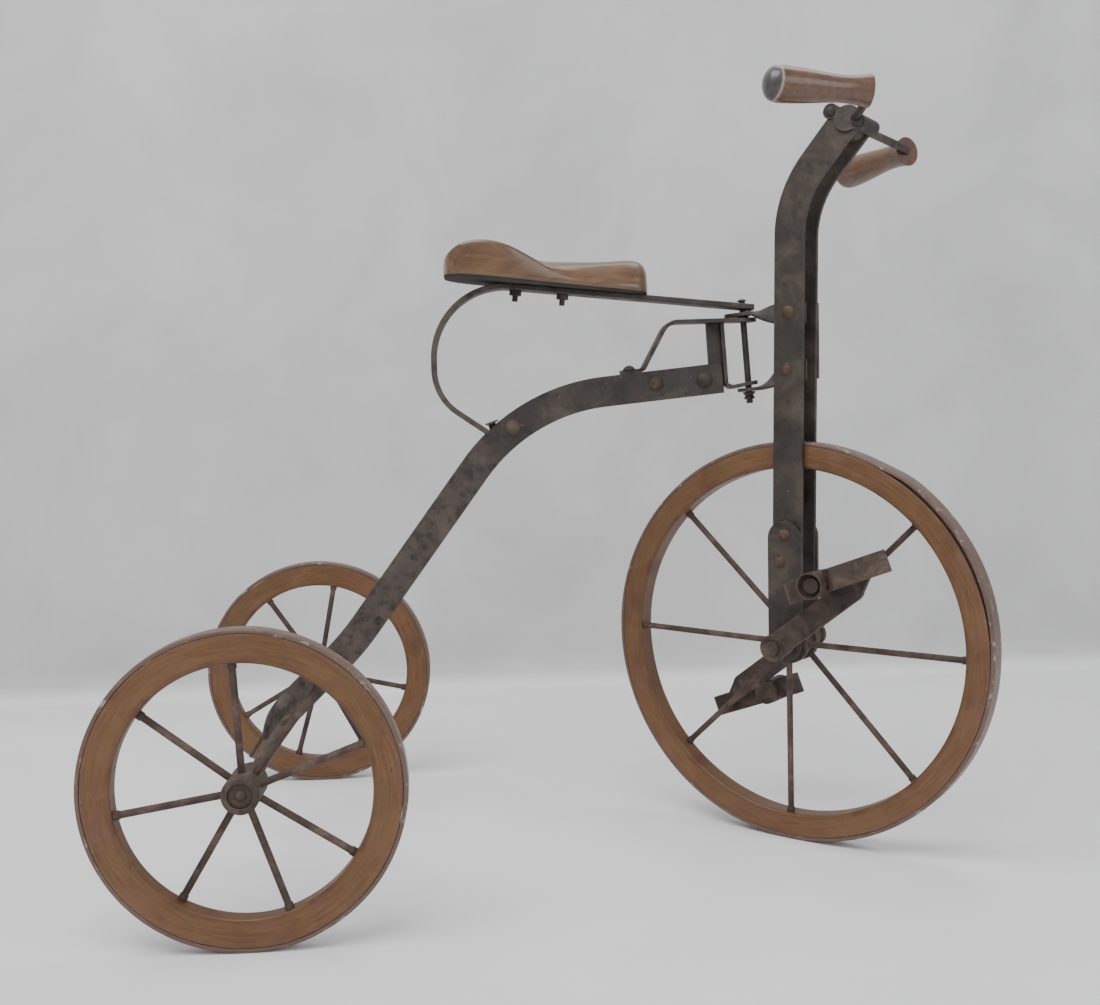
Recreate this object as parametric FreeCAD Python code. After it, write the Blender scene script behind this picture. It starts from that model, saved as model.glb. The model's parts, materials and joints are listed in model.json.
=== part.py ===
import FreeCAD, Part
import math
import os

V = FreeCAD.Vector
Y_AXIS = V(0, 1, 0)

# A child's tricycle of flat steel bars and wooden wheels, in millimetres.
# +X runs forward, +Y to the rider's left, +Z up. Shapes are drawn with the origin on the floor
# under the middle of the rear axle; export() moves them to the middle of the footprint.
# The fork is stored steered to the rider's right, with the right crank forward and up.

# ---- driving dimensions --------------------------------------------------------------------
REAR_R = 152.4              # 12 in rear wheels
REAR_RIM_IN = 120.1
REAR_RIM_W = 19.5
TRACK = 557.4               # between the middles of the rear wheels
REAR_HUB_R = 17.8
REAR_JOURNAL_R = 6.5
REAR_AXLE_R = 7.5

FRONT_R = 230.5             # about 18 in front wheel
FRONT_RIM_IN = 200.3
FRONT_RIM_W = 26.0
FRONT_FLANGE_R = 24.0
FRONT_AXLE_R = 8.0

TREAD_T = 4.4               # thin wooden band bent round each rim
TREAD_SOFT = 2.2            # its rounded outer corners
SPOKE_R = 3.5
FRONT_SPOKES = (-1, 44, 89, 134, 179, 224, 269, 314)        # degrees above forward
RIGHT_SPOKES = (20, 53, 93, 142, 189, 239, 289, 327)        # not evenly spaced
LEFT_SPOKES = (38, 79, 124, 167, 210, 254, 298, 347)
FIT = 0.05                  # running fit, radial

BAR_W = 35.0                # flat bar of the backbone and of the fork
BAR_T = 5.0

PIN_X = 541.7               # the steering pin crosses this point
PIN_Z = 566.0
PIN_R = 3.7
RAKE = 4.0                  # the pin's top leans back, degrees
STEER = 40.0                # stored steering angle, to the right, degrees
LEAD = 57.4                 # wheel centre ahead of the steering pin

BLADE_IN = 15.0             # inner face of each fork blade from the fork's middle
BLADE_OUT = BLADE_IN + BAR_T
END_OUT = BLADE_OUT + 5.0   # outer face of the fork end plates

CRANK_X, CRANK_Z = 62.0, 78.0   # right pedal pin from the axle
ARM_ANGLE = 39.5            # right crank arm above forward, degrees
ARM_IN = 50.0               # inner face of the crank arm from the wheel's middle
ARM_OUT = 57.0
PEDAL_PIN_R = 6.5
PEDAL_TUBE_R = 14.5
PEDAL_ANGLE = 20.8          # the pedal's long direction above forward, degrees

SEAT_SLOPE = 5.7            # the leaf under the seat drops towards the front, degrees
LEAF_T = 6.3
LEAF_W = 25.0
LEAF_FRONT = (549.5, 616.9)

ROD_R = 4.5                 # handlebar rod
CLAMP_X, CLAMP_Z = 131.0, 806.0     # top of the fork, in the fork's frame
BAR_YAW = 9.1               # the bar sits a little askew in its clamp, degrees
BAR_ROLL = -6.5
GRIP_SPLAY = 34.0           # the grips point back and outwards, degrees
GRIP_L = 110.0

# the front wheel's forward reach sets the middle of the footprint
STEER_RAD = math.radians(STEER)
FRONT_X = PIN_X + LEAD * math.cos(STEER_RAD)
FRONT_REACH = (FRONT_R - TREAD_SOFT) * math.cos(STEER_RAD) + (FRONT_RIM_W / 2 - TREAD_SOFT) * math.sin(STEER_RAD)
ORIGIN_X = (FRONT_X + FRONT_REACH + TREAD_SOFT - REAR_R) / 2


# ---- placing and exporting -------------------------------------------------------------------
def export(name, shape):
    """Write one node, moved so that the origin is in the middle of the footprint."""
    solids = shape.Solids
    moved = Part.makeCompound(solids) if len(solids) > 1 else solids[0]
    moved = moved.translated(V(-ORIGIN_X, 0, 0))
    moved.exportStep("parts/" + name + ".step")
    print("%-28s %2d solids %10.0f mm3 valid %s" % (name, len(solids), moved.Volume, moved.isValid()))


def from_fork(shape):
    """Fork frame to drawing frame: turn to the stored steering angle, move to the pin."""
    return shape.rotated(V(0, 0, 0), V(0, 0, 1), -STEER).translated(V(PIN_X, 0, 0))


def from_pin(shape):
    """Shapes drawn upright about the pin, leaned back by the rake."""
    return shape.rotated(V(0, 0, 0), Y_AXIS, -RAKE).translated(V(PIN_X, 0, PIN_Z))


def mirror_y(shape):
    return shape.mirror(V(0, 0, 0), Y_AXIS)


def opposite(shape, centre):
    """The same piece half a turn round the front axle and on the other side of the wheel."""
    return mirror_y(shape.rotated(centre, Y_AXIS, 180))


# ---- bars ------------------------------------------------------------------------------------
def unit(a, b):
    d = b.sub(a)
    return V(d).multiply(1.0 / d.Length)


def rounded_edges(points, radii):
    """Straight runs joined by tangent arcs, with one radius per inner corner."""
    edges = []
    start = points[0]
    for i, radius in enumerate(radii):
        corner = points[i + 1]
        before = unit(points[i], corner)
        after = unit(corner, points[i + 2])
        half = before.getAngle(after) / 2
        reach = radius * math.tan(half)
        a = corner.sub(V(before).multiply(reach))
        b = corner.add(V(after).multiply(reach))
        inward = after.sub(before)
        inward.normalize()
        middle = corner.add(inward.multiply(radius / math.cos(half) - radius))
        edges.append(Part.LineSegment(start, a).toShape())
        edges.append(Part.Arc(a, middle, b).toShape())
        start = b
    edges.append(Part.LineSegment(start, points[-1]).toShape())
    return edges


def offset_points(points, side):
    """Corners of the same line moved sideways in the XZ plane."""
    moved = []
    last = len(points) - 1
    for i, p in enumerate(points):
        after = unit(p, points[i + 1]) if i < last else unit(points[i - 1], p)
        before = unit(points[i - 1], p) if i > 0 else after
        normal = V(-before.z, 0, before.x)
        bisector = normal.add(V(-after.z, 0, after.x))
        bisector.normalize()
        moved.append(p.add(V(bisector).multiply(side / bisector.dot(normal))))
    return moved


def band(outline, radii, width, y0, y1):
    """A band of one width along a centre line in the XZ plane, from y0 to y1."""
    points = [V(x, 0, z) for x, z in outline]
    left_radii = []
    right_radii = []
    for i, radius in enumerate(radii):
        before = unit(points[i], points[i + 1])
        after = unit(points[i + 1], points[i + 2])
        turn = 1 if before.x * after.z - before.z * after.x > 0 else -1
        left_radii.append(radius - turn * width / 2)
        right_radii.append(radius + turn * width / 2)
    left = offset_points(points, width / 2)
    right = offset_points(points, -width / 2)
    edges = rounded_edges(left, left_radii)
    edges += rounded_edges(right, right_radii)
    edges.append(Part.LineSegment(left[0], right[0]).toShape())
    edges.append(Part.LineSegment(left[-1], right[-1]).toShape())
    face = Part.Face(Part.Wire(Part.__sortEdges__(edges)))
    return face.extrude(V(0, y1 - y0, 0)).translated(V(0, y0, 0))


def slot_plate(x0, z0, x1, z1, r, y0, y1):
    """A flat bar with round ends between two points of the XZ plane."""
    middle = band([(x0, z0), (x1, z1)], [], 2 * r, y0, y1)
    return middle.fuse([disc(x0, z0, r, y0, y1), disc(x1, z1, r, y0, y1)]).removeSplitter()


def twisted_bar(start, end, width_start, width_end, thick_start, thick_end, width, thick):
    """A flat bar from one point to another whose wide side turns from one direction to the other."""
    sections = []
    steps = 6
    for i in range(steps + 1):
        t = i / steps
        wide = V(width_start).multiply(math.cos(math.pi / 2 * t)).add(V(width_end).multiply(math.sin(math.pi / 2 * t)))
        flat = V(thick_start).multiply(math.cos(math.pi / 2 * t)).add(V(thick_end).multiply(math.sin(math.pi / 2 * t)))
        wide.normalize()
        flat.normalize()
        centre = start.add(end.sub(start).multiply(t))
        a = V(wide).multiply(width / 2)
        b = V(flat).multiply(thick / 2)
        corners = [centre.add(a).add(b), centre.sub(a).add(b), centre.sub(a).sub(b), centre.add(a).sub(b)]
        sections.append(Part.makePolygon(corners + [corners[0]]))
    return Part.makeLoft(sections, True, False)


# ---- round things ----------------------------------------------------------------------------
def disc(x, z, r, y0, y1):
    """A cylinder along Y."""
    return Part.makeCylinder(r, y1 - y0, V(x, y0, z), Y_AXIS)


def tube(r_out, r_in, y0, y1):
    return disc(0, 0, r_out, y0, y1).cut(disc(0, 0, r_in, y0 - 1, y1 + 1))


def dome(centre, direction, r, height):
    """A rivet's round head: a slice of a ball standing on a face."""
    ball_r = (r * r + height * height) / (2 * height)
    ball = Part.makeSphere(ball_r, V(0, 0, height - ball_r))
    keep = Part.makeCylinder(ball_r, height)
    cap = ball.common(keep)
    cap.Placement = FreeCAD.Placement(centre, FreeCAD.Rotation(V(0, 0, 1), direction))
    return cap


def rivet(x, z, y0, y1, head_r, head_h):
    """A rivet along Y with a round head on both ends."""
    shank = disc(x, z, head_r * 0.55, y0, y1)
    heads = [dome(V(x, y0, z), V(0, -1, 0), head_r, head_h), dome(V(x, y1, z), Y_AXIS, head_r, head_h)]
    return shank.fuse(heads).removeSplitter()


def hexagon(flats, height, base, direction):
    """A six-sided prism for nuts and bolt heads."""
    r = flats / math.sqrt(3)
    corners = [V(r * math.cos(math.pi / 3 * i), r * math.sin(math.pi / 3 * i), 0) for i in range(7)]
    prism = Part.Face(Part.makePolygon(corners)).extrude(V(0, 0, height))
    prism.Placement = FreeCAD.Placement(base, FreeCAD.Rotation(V(0, 0, 1), direction))
    return prism


# ---- wheels, built about the Y axis ----------------------------------------------------------
def spoke_rods(r_hub, r_rim, y_hub, y_rim, angles):
    """Straight rods that go by turns to one side of the hub and the other."""
    rods = []
    for i, angle in enumerate(angles):
        side = 1 if i % 2 else -1
        a = math.radians(angle)
        inner = V(r_hub * math.cos(a), side * y_hub, r_hub * math.sin(a))
        outer = V(r_rim * math.cos(a), side * y_rim, r_rim * math.sin(a))
        rods.append(Part.makeCylinder(SPOKE_R, inner.distanceToPoint(outer), inner, outer.sub(inner)))
    return rods


def spoke_collars(rods, rim_in):
    """A short ring round each spoke, against the inside of the rim."""
    shell = tube(rim_in - 0.02, rim_in - 5.0, -20, 20)
    collars = []
    for rod in rods:
        axis = rod.Faces[0].Surface.Axis
        thick = Part.makeCylinder(SPOKE_R + 0.9, rod.BoundBox.DiagonalLength, rod.CenterOfMass, axis)
        thin = Part.makeCylinder(SPOKE_R, rod.BoundBox.DiagonalLength, rod.CenterOfMass, axis)
        collars.append(thick.cut(thin).common(shell))
    return Part.makeCompound(collars)


def wheel(r_out, rim_in, width, hub, r_hub, y_hub, angles):
    """Rim, tread band, spokes, collars and the hub drilled for its spokes."""
    band_in = r_out - TREAD_T
    rods = spoke_rods(r_hub - 5, rim_in + 9, y_hub, width / 6, angles)
    spokes = Part.makeCompound(rods)
    rim = tube(band_in, rim_in, -width / 2, width / 2)
    rim = rim.makeFillet(3.0, [e for e in rim.Edges if abs(e.Length - 2 * math.pi * rim_in) < 0.5])
    tread = tube(r_out, band_in, -width / 2, width / 2)
    tread = tread.makeFillet(TREAD_SOFT, [e for e in tread.Edges if abs(e.Length - 2 * math.pi * r_out) < 0.5])
    return {"rim": rim.cut(spokes), "tread": tread, "spokes": spokes,
            "collars": spoke_collars(rods, rim_in), "hub": hub.cut(spokes)}


def rear_hub():
    """A plain barrel with a recessed outer face; the outer end is towards -Y."""
    barrel = disc(0, 0, REAR_HUB_R, -21.5, 28.5)
    ends = [e for e in barrel.Edges if abs(e.Length - 2 * math.pi * REAR_HUB_R) < 0.1]
    barrel = barrel.makeFillet(1.5, ends)
    recess = disc(0, 0, 12.0, -22.5, -17.5)
    return barrel.cut(recess).cut(disc(0, 0, REAR_JOURNAL_R + FIT, -30, 30))


def rear_wheels():
    washer = tube(11.7, 4.3, -19.0, -17.5)
    for side, name, angles in ((-1, "right", RIGHT_SPOKES), (1, "left", LEFT_SPOKES)):
        parts = wheel(REAR_R, REAR_RIM_IN, REAR_RIM_W, rear_hub(), REAR_HUB_R, 4.0, angles)
        parts["washer"] = washer
        for key, shape in parts.items():
            placed = mirror_y(shape) if side > 0 else shape
            placed = placed.translated(V(0, side * TRACK / 2, REAR_R))
            export("rear_wheel_%s_%s" % (name, key), placed)


def rear_axle():
    """A thick middle, a journal in each hub and riveted-over ends that hold the washers."""
    middle = TRACK / 2 - 29.0
    journal = TRACK / 2 + 17.2
    tip = TRACK / 2 + 19.3
    shaft = disc(0, REAR_R, REAR_AXLE_R, -middle, middle)
    pieces = [disc(0, REAR_R, REAR_JOURNAL_R, -journal, journal), disc(0, REAR_R, 4.0, -tip, tip)]
    for s in (-1, 1):
        pieces.append(dome(V(0, s * tip, REAR_R), V(0, s, 0), 5.5, 2.6))
    shaft = shaft.fuse(pieces).removeSplitter()
    collars = []
    pins = []
    for s in (-1, 1):
        ring = tube(12.0, REAR_AXLE_R, 0, 12.5).translated(V(0, s * (middle - 6.25) - 6.25, REAR_R))
        pin = Part.makeCylinder(1.8, 32, V(0, s * (middle - 6.25), REAR_R - 16), V(0, 0, 1))
        collars.append(ring.cut(pin))
        pins.append(pin)
    pins = Part.makeCompound(pins)
    export("rear_axle", shaft.cut(pins))
    export("axle_collars", Part.makeCompound(collars))
    export("axle_pins", pins)


# ---- frame -----------------------------------------------------------------------------------
FRAME_RIVETS = ((434.6, 531.6), (492.0, 534.0), (267.3, 484.3))


FOOT_END = (-1.5, 163.5)            # the bar stops here, inside the eye
EYE_X, EYE_Z, EYE_R = -10.0, 157.0, 21.5
CLIP = [(-18.0, 152.0), (-30.0, 134.0), (-44.5, 111.5)]


def backbone_shape():
    """The curved flat bar, from the head down to the eye on the rear axle."""
    bar = band([(513.5, 536.3), (279.4, 513.7), (75.7, 238.1), FOOT_END], [216.0, 300.0], BAR_W,
               -BAR_T / 2, BAR_T / 2)
    corner = [e for e in bar.Edges if abs(e.Length - BAR_T) < 0.01 and e.CenterOfMass.x > 500 and e.CenterOfMass.z > 540]
    return bar.makeFillet(5.0, corner)


def axle_socket_shape():
    """The forged eye at the foot of the backbone, with the axle through its lower part."""
    eye = disc(EYE_X, EYE_Z, EYE_R, -15, 15)
    eye = eye.makeFillet(2.5, [e for e in eye.Edges if abs(e.Length - 2 * math.pi * EYE_R) < 0.1])
    return eye.cut(disc(0, REAR_R, REAR_AXLE_R, -40, 40))


def head_shapes():
    """The brace over the head, the L bracket that carries the pin and the post behind it."""
    brace = band([(394.0, 544.6), (419.5, 547.0), (449.0, 601.5), (554.0, 602.8)], [6.0, 20.0], 4.5, -11, 11)
    tips = [e for e in brace.Edges if abs(e.Length - 4.5) < 0.1 and e.CenterOfMass.x > 552]
    brace = brace.makeFillet(10.5, tips).cut(Part.makeBox(40, 11, 30, V(380, -13.5, 530)))
    bracket = band([(555.0, 530.8), (518.5, 524.3), (513.5, 600.5)], [6.0], 4.5, -9, 9)
    tips = [e for e in bracket.Edges if abs(e.Length - 4.5) < 0.1 and e.CenterOfMass.x > 554]
    bracket = bracket.makeFillet(8.0, tips).cut(Part.makeBox(20, 10, 80, V(505, -12.5, 529)))
    lap = band([(424.0, 529.8), (508.2, 538.0)], [], 24.0, BAR_T / 2, BAR_T / 2 + 5)
    upright = band([(508.0, 522.0), (503.5, 600.6)], [], 16.0, BAR_T / 2, BAR_T / 2 + 5)
    post = lap.fuse(upright).removeSplitter()
    return brace.cut(bracket), bracket, post.cut(bracket).cut(brace)


def spring_foot_shape():
    """A plate on the far side of the backbone with a lip over the end of the leaf."""
    plate = band([(246.0, 468.0), (290.0, 497.0)], [], 22.0, BAR_T / 2, BAR_T / 2 + 4)
    upright = band([(250.0, 468.0), (243.0, 489.0)], [], 9.0, BAR_T / 2, BAR_T / 2 + 4)
    lip = band([(236.0, 487.5), (250.0, 492.5)], [], 2.4, -8.0, BAR_T / 2 + 4)
    return plate.fuse([upright, lip]).removeSplitter()


def steering_nut_shape():
    """A washer and a nut with a narrow waist, under the lower strap."""
    washer = Part.makeCylinder(7.5, 1.5, V(0, 0, -48.0))
    upper = Part.makeCone(4.8, 7.0, 3.0, V(0, 0, -51.0))
    lower = Part.makeCone(7.0, 4.8, 4.0, V(0, 0, -55.0))
    return from_pin(washer.fuse([upper, lower]))


def frame():
    pin = from_pin(Part.makeCylinder(PIN_R, 119, V(0, 0, -60)))
    head = from_pin(dome(V(0, 0, 58.8), V(0, 0, 1), 6.0, 2.5))
    collar = from_pin(Part.makeCylinder(6.5, 4.0, V(0, 0, 37.0)))
    brace, bracket, post = head_shapes()
    collar = collar.cut(brace.fuse(from_pin(Part.makeBox(30, 30, 10, V(-15, -15, 27)))))
    pin = pin.fuse([head, collar]).removeSplitter()
    nut = steering_nut_shape().cut(pin)

    rivets = []
    for x, z in FRAME_RIVETS:
        back = BAR_T / 2 + (4.0 if x < 300 else 5.0)
        rivets.append(rivet(x, z, -BAR_T / 2, back, 9.5, 4.5))
    shank = Part.makeCylinder(2.0, 16.0, V(404.0, 0, 533.0))
    rivets.append(shank.fuse(dome(V(404.0, 0, 547.6), V(0, 0, 1), 7.5, 5.0)))
    rivets = Part.makeCompound(rivets)

    socket = axle_socket_shape()
    backbone = backbone_shape().cut(socket).cut(disc(0, REAR_R, REAR_AXLE_R + 1, -40, 40))
    backbone = backbone.cut(bracket).cut(brace).cut(rivets)
    clip = band(CLIP, [8.0], 4.0, -13, -1).cut(socket)

    export("backbone", backbone)
    export("axle_socket", socket)
    export("axle_clip", clip)
    export("head_brace", brace.cut(rivets).cut(pin))
    export("head_bracket", bracket.cut(pin))
    export("head_post", post.cut(rivets))
    export("frame_rivets", rivets)
    export("steering_pin", pin)
    export("steering_nut", nut)
    export("spring_foot", spring_foot_shape().cut(rivets))


# ---- seat ------------------------------------------------------------------------------------
def on_leaf(x):
    """Height of the leaf's middle under the seat."""
    return LEAF_FRONT[1] + (LEAF_FRONT[0] - x) * math.tan(math.radians(SEAT_SLOPE))


def leaf_shape():
    """One strip: straight under the seat, then round in a C to the top of the backbone."""
    corner = (178.5, on_leaf(178.5))
    turn = (178.5, 520.0)
    leaf = band([LEAF_FRONT, corner, turn, (232.5, 482.5)], [82.0, 60.0], LEAF_T, -LEAF_W / 2, LEAF_W / 2)
    return leaf


def seat_shape():
    """A wooden saddle: wide dished rear with a raised lip, narrow rounded nose."""
    half = [(427.0, 0.0), (420.0, 22.0), (395.0, 30.0), (350.0, 33.0), (304.0, 40.0), (262.0, 45.5), (226.0, 46.0),
            (201.0, 34.0), (193.0, 15.0)]
    points = [V(x, y, 630) for x, y in half] + [V(x, -y, 630) for x, y in reversed(half[1:])]
    outline = Part.BSplineCurve()
    outline.interpolate(Points=points, PeriodicFlag=True)
    plan = Part.Face(Part.Wire([outline.toShape()])).extrude(V(0, 0, 90))
    edge = Part.BSplineCurve()
    edge.interpolate(Points=[V(x, 0, z) for x, z in ((185, 672), (196, 681.6), (218, 692.2), (234, 693.7), (256, 690.8),
                                                     (278, 681.6), (301, 667.8), (323, 656.8), (343, 651.5),
                                                     (385, 647.5), (435, 645))])
    under = [V(435, 0, on_leaf(435) + LEAF_T / 2 + 0.1), V(185, 0, on_leaf(185) + LEAF_T / 2 + 0.1)]
    sides = [Part.LineSegment(V(435, 0, 645), under[0]).toShape(), Part.LineSegment(under[0], under[1]).toShape(),
             Part.LineSegment(under[1], V(185, 0, 672)).toShape()]
    side_face = Part.Face(Part.Wire(Part.__sortEdges__([edge.toShape()] + sides)))
    body = side_face.extrude(V(0, 240, 0)).translated(V(0, -120, 0)).common(plan)
    body = body.cut(Part.makeSphere(70.0, V(238.0, 0, 752.0)))
    nose = Part.makeCylinder(25.0, 56.5, V(345.0, 0, 647.5), V(1, 0, 0))
    nose = nose.fuse([Part.makeSphere(25.0, V(345.0, 0, 647.5)), Part.makeSphere(25.0, V(401.5, 0, 647.5))])
    below = Part.Face(Part.makePolygon([under[1], under[0], V(435, 0, 600), V(185, 0, 600), under[1]]))
    below = below.extrude(V(0, 240, 0)).translated(V(0, -120, 0))
    return body.fuse(nose.cut(below)).removeSplitter()


def seat():
    up = V(math.sin(math.radians(SEAT_SLOPE)), 0, math.cos(math.radians(SEAT_SLOPE)))
    bolts = []
    nuts = []
    for x in (274.5, 328.7):
        foot = V(x, 0, on_leaf(x))
        bolt = Part.makeCylinder(3.2, 30.0, foot.add(V(up).multiply(-16.0)), up)
        bolts.append(bolt)
        nuts.append(hexagon(12.0, 6.0, foot.add(V(up).multiply(-LEAF_T / 2 - 6.0)), up).cut(bolt))
    bolts = Part.makeCompound(bolts)
    saddle = seat_shape().cut(bolts)
    nuts = Part.makeCompound(nuts)
    hole = Part.makeCylinder(PIN_R + 0.4, 40, V(0, 0, 30))
    leaf = leaf_shape().cut(bolts).cut(from_pin(hole))
    export("seat_spring", leaf)
    export("seat", saddle)
    export("seat_bolts", bolts)
    export("seat_nuts", nuts)


# ---- fork, in its own frame ------------------------------------------------------------------
STRAP_W = 24.0
STRAP_T = 4.0
STRAP_RIVETS = ((63.0, 606.0), (60.0, 541.5))
END_RIVETS = ((57.8, 354.9), (52.5, 323.8))


def blade_shape():
    """One blade, straight up past the head and then bent forward to the clamp."""
    return band([(58.2, 300.0), (66.0, 734.0), (CLAMP_X, CLAMP_Z)], [115.0], BAR_W, BLADE_IN, BLADE_OUT)


def strap_shape(tip, height, flat_end, tab_z, pin_hole):
    """A strap that lies flat round the pin, twists and stands between the blades."""
    level = height - PIN_Z
    flat = Part.makeBox(flat_end - tip, STRAP_W, STRAP_T, V(tip, -STRAP_W / 2, level - STRAP_T / 2))
    ends = [e for e in flat.Edges if abs(e.Length - STRAP_T) < 0.01 and e.CenterOfMass.x < tip + 1]
    flat = flat.makeFillet(STRAP_W / 2 - 0.5, ends)
    turn = FreeCAD.Placement(V(0, 0, 0), FreeCAD.Rotation(V(0, 0, 1), -STEER))
    lean = FreeCAD.Placement(V(PIN_X, 0, PIN_Z), FreeCAD.Rotation(Y_AXIS, -RAKE))
    to_fork = FreeCAD.Placement(V(PIN_X, 0, 0), FreeCAD.Rotation(V(0, 0, 1), -STEER)).inverse()
    frame = to_fork.multiply(lean).multiply(turn)
    flat.Placement = frame
    start = frame.multVec(V(flat_end, 0, level))
    rotation = frame.Rotation
    end = V(50.0, 0, tab_z)
    twist = twisted_bar(start, end, rotation.multVec(Y_AXIS), V(0, 0, 1), rotation.multVec(V(0, 0, 1)),
                        V(0, -1, 0), STRAP_W, STRAP_T)
    tab = Part.makeBox(26.0, STRAP_T, STRAP_W, V(50.0, -STRAP_T / 2, tab_z - STRAP_W / 2))
    hole = Part.makeCylinder(pin_hole, 40.0, V(0, 0, level - 20))
    hole.Placement = frame.multiply(hole.Placement)
    return flat.fuse([twist, tab]).cut(hole)


def handlebar_placement():
    yaw = FreeCAD.Rotation(V(0, 0, 1), BAR_YAW)
    roll = FreeCAD.Rotation(V(1, 0, 0), BAR_ROLL)
    return FreeCAD.Placement(V(CLAMP_X, 0, CLAMP_Z), yaw.multiply(roll))


def bar_corner(side):
    return V(43.6, side * 96.6, -4.7)


def grip_direction(side):
    a = math.radians(GRIP_SPLAY)
    return V(-math.cos(a), side * math.sin(a), 0)


def handlebar_shape():
    """A bent rod; its ends run inside the grips."""
    ends = [bar_corner(s).add(grip_direction(s).multiply(90.0)) for s in (-1, 1)]
    path = rounded_edges([ends[0], bar_corner(-1), V(0, 0, 0), bar_corner(1), ends[1]], [12.0, 40.0, 12.0])
    wire = Part.Wire(path)
    profile = Part.Wire([Part.makeCircle(ROD_R, ends[0], grip_direction(-1))])
    rod = wire.makePipeShell([profile], True, False)
    rod.Placement = handlebar_placement()
    return rod


def grip_shape(side):
    """A turned wooden grip: flared inner end, slim waist, full outer end."""
    outline = Part.BSplineCurve()
    outline.interpolate([V(16.5, 0, 0), V(15.0, 0, 8), V(13.5, 0, 22), V(15.5, 0, 55), V(18.0, 0, 88), V(15.5, 0, 103),
                         V(7.0, 0, GRIP_L - 1), V(0.0, 0, GRIP_L)])
    axis = Part.LineSegment(V(0, 0, GRIP_L), V(0, 0, 0)).toShape()
    base = Part.LineSegment(V(0, 0, 0), V(16.5, 0, 0)).toShape()
    half = Part.Face(Part.Wire(Part.__sortEdges__([outline.toShape(), axis, base])))
    grip = half.revolve(V(0, 0, 0), V(0, 0, 1), 360)
    grip = grip.translated(V(0, 0, 3.0))
    turn = FreeCAD.Rotation(V(0, 0, 1), grip_direction(side))
    grip.Placement = handlebar_placement().multiply(FreeCAD.Placement(bar_corner(side), turn)).multiply(grip.Placement)
    return grip


def clamp_shape():
    """The barrel that grips the rod, with the two eyes that join it to the blades."""
    barrel = disc(0, 0, 14.5, -21, 21)
    barrel.Placement = handlebar_placement().multiply(barrel.Placement)
    eyes = [disc(CLAMP_X - 15.2, CLAMP_Z + 12.4, 8.5, -21, 21), disc(CLAMP_X + 15.6, CLAMP_Z - 3.5, 8.5, -21, 21)]
    return barrel.fuse(eyes)


def fork():
    rod = handlebar_shape()
    clamp = clamp_shape()
    bolts = []
    for x, z in ((CLAMP_X - 15.2, CLAMP_Z + 12.4), (CLAMP_X + 15.6, CLAMP_Z - 3.5)):
        bolt = disc(x, z, 3.0, -21, 21).fuse([dome(V(x, s * 21, z), V(0, s, 0), 6.0, 3.0) for s in (-1, 1)])
        bolts.append(bolt.removeSplitter().cut(rod))
    bolts = Part.makeCompound(bolts)
    clamp = clamp.cut(rod).cut(bolts)

    rivets = []
    for x, z in STRAP_RIVETS:
        rivets.append(rivet(x, z, -BLADE_OUT, BLADE_OUT + 4.0, 7.5, 3.6))
    for x, z in END_RIVETS:
        for s in (-1, 1):
            shank = disc(x, z, 4.0, min(s * BLADE_IN, s * END_OUT), max(s * BLADE_IN, s * END_OUT))
            rivets.append(shank.fuse(dome(V(x, s * END_OUT, z), V(0, s, 0), 7.0, 3.6)).removeSplitter())
    rivets = Part.makeCompound(rivets)

    stop_x, stop_z = 62.0, 395.0
    stop = disc(stop_x, stop_z, 3.0, BLADE_IN - 3.5, BLADE_OUT)
    stop = stop.fuse([hexagon(10.0, 3.5, V(stop_x, BLADE_IN, stop_z), V(0, -1, 0)),
                      dome(V(stop_x, BLADE_OUT, stop_z), Y_AXIS, 5.5, 3.0)]).removeSplitter()

    left = blade_shape().cut(clamp).cut(bolts).cut(rivets).cut(rod)
    right = mirror_y(blade_shape()).cut(clamp).cut(bolts).cut(rivets).cut(rod)
    end_plate = slot_plate(LEAD, FRONT_R, LEAD + 0.3, 351.0, 20.0, BLADE_OUT, END_OUT)
    end_plate = end_plate.cut(disc(LEAD, FRONT_R, FRONT_AXLE_R + FIT, 0, 40))
    plate = band([(62.5, 532.0), (62.5, 618.0)], [], 37.0, BLADE_OUT, BLADE_OUT + 4.0)

    spacers = []
    for x, z in STRAP_RIVETS:
        for s in (-1, 1):
            spacer = disc(x, z, 8.0, min(s * STRAP_T / 2, s * BLADE_IN), max(s * STRAP_T / 2, s * BLADE_IN))
            spacers.append(spacer.cut(rivets))

    nodes = {
        "fork_blade_right": right,
        "fork_blade_left": left.cut(stop),
        "fork_end_right": mirror_y(end_plate).cut(rivets),
        "fork_end_left": end_plate.cut(rivets),
        "fork_rivets": rivets,
        "fork_strap_top": strap_shape(-22.5, 609.5, 14.0, 606.0, PIN_R + FIT).cut(rivets),
        "fork_strap_bottom": strap_shape(-13.0, 522.0, 14.0, 541.5, PIN_R + FIT).cut(rivets),
        "fork_spacers": Part.makeCompound(spacers),
        "fork_side_plate": plate.cut(rivets),
        "fork_stop_bolt": stop,
        "handlebar": rod,
        "handlebar_clamp": clamp,
        "handlebar_bolts": bolts,
        "grip_right": grip_shape(-1).cut(rod),
        "grip_left": grip_shape(1).cut(rod),
    }
    for name, shape in nodes.items():
        export(name, from_fork(shape))


# ---- front wheel and pedals, in the fork's frame ------------------------------------------------
def front_hub():
    """A barrel between two flanges, fixed on its axle."""
    hub = disc(0, 0, 20.0, -15.5, 15.5)
    flanges = [disc(0, 0, FRONT_FLANGE_R, s * 12.5 - 4.0, s * 12.5 + 4.0) for s in (-1, 1)]
    return hub.fuse(flanges).removeSplitter().cut(disc(0, 0, FRONT_AXLE_R, -30, 30))


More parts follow.
